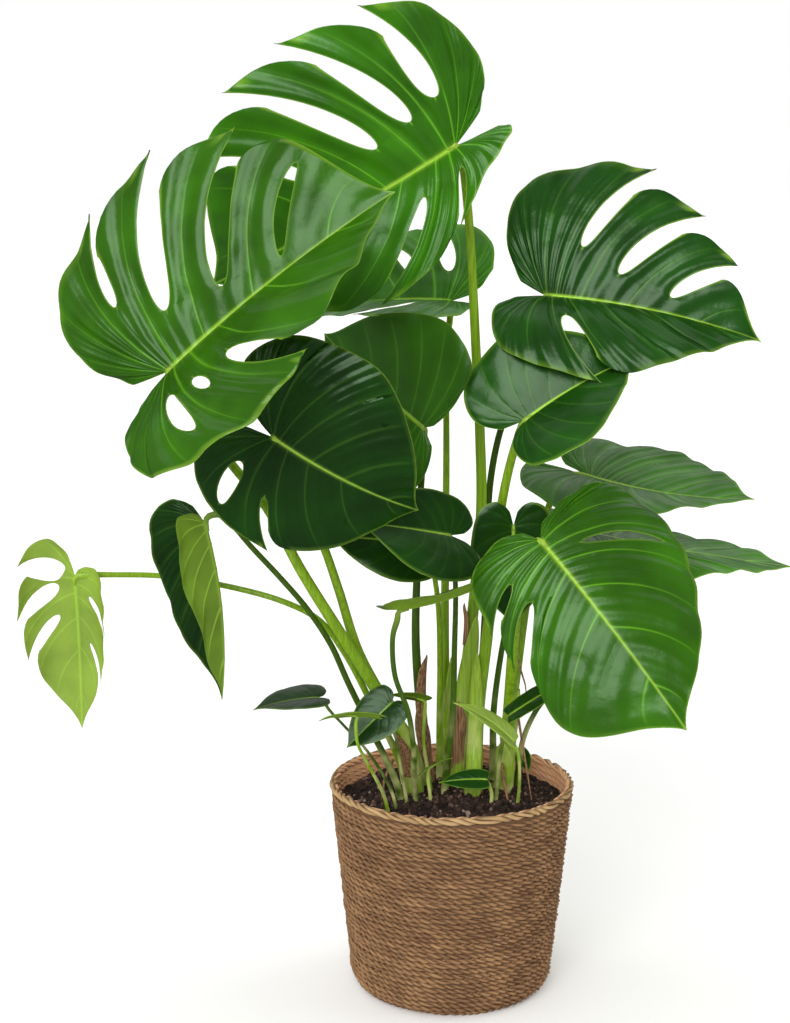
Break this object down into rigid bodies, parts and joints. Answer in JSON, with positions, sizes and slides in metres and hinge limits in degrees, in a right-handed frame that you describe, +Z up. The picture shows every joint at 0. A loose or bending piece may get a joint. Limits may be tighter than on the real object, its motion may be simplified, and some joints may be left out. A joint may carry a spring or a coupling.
{
  "type": "potted swiss cheese plant",
  "caption": "Swiss cheese plant with large split and pierced heart-shaped leaves on tall arching stems, potted in a round woven seagrass basket.",
  "frame": {"origin": "centre of the flat underside of the basket, on the surface it stands on", "axes": "+Z up, along the longest extent; -Y is the side seen in the picture, with +X to its right"},
  "size_m": [0.769, 0.5131, 0.9805],
  "materials": {
    "fresh_green": "waxy, glossy, bright green",
    "mid_green": "waxy, glossy, mid green",
    "dark_green": "waxy, glossy, dark green",
    "grey_green": "satin grey-green",
    "olive": "matt olive, underside colour",
    "lime": "satin pale lime green, young",
    "stem_green": "smooth satin yellow-green",
    "stem_dark": "smooth satin dark green",
    "seagrass": "dry twisted seagrass, matt, tan brown",
    "straw_braid": "dry plaited straw, matt, pale",
    "potting_soil": "moist peat and bark potting mix, matt, near black"
  },
  "bodies": {
    "root": {"basket": "seagrass", "rim_braid": "straw_braid", "soil": "potting_soil", "leaf_upper_left": "fresh_green", "stem_upper_left": "stem_green", "leaf_top": "mid_green", "stem_top": "stem_green", "leaf_upper_right": "dark_green", "stem_upper_right": "stem_dark", "leaf_centre_left": "dark_green", "stem_centre_left": "stem_green", "leaf_front_right": "fresh_green", "stem_front_right": "stem_green", "leaf_back_centre": "grey_green", "stem_back_centre": "stem_dark", "leaf_centre_right": "dark_green", "stem_centre_right": "stem_green", "leaf_right_back": "grey_green", "stem_right_back": "stem_green", "leaf_right_low": "grey_green", "stem_right_low": "stem_dark", "leaf_middle": "dark_green", "stem_middle": "stem_dark", "leaf_middle_back": "dark_green", "stem_middle_back": "stem_green", "leaf_right_inner": "dark_green", "stem_right_inner": "stem_dark", "leaf_curled": "olive", "stem_curled": "stem_dark", "leaf_left_folded": "dark_green", "stem_left_folded": "stem_dark", "leaf_far_left": "lime", "stem_far_left": "stem_green", "leaf_small_left": "dark_green", "stem_small_left": "stem_dark", "leaf_small_olive": "olive", "stem_small_olive": "stem_green", "leaf_small_dark": "dark_green", "stem_small_dark": "stem_dark", "leaf_small_lime": "lime", "stem_small_lime": "stem_green", "leaf_soil_dark": "dark_green", "stem_soil_dark": "stem_green", "leaf_soil_olive": "olive", "stem_soil_olive": "stem_green", "leaf_small_edge": "dark_green", "stem_small_edge": "stem_green", "leaf_top_back": "mid_green", "stem_top_back": "stem_green", "leaf_narrow_right": "dark_green", "stem_narrow_right": "stem_dark", "leaf_rim_right": "dark_green", "stem_rim_right": "stem_green"}
  },
  "joints": []
}
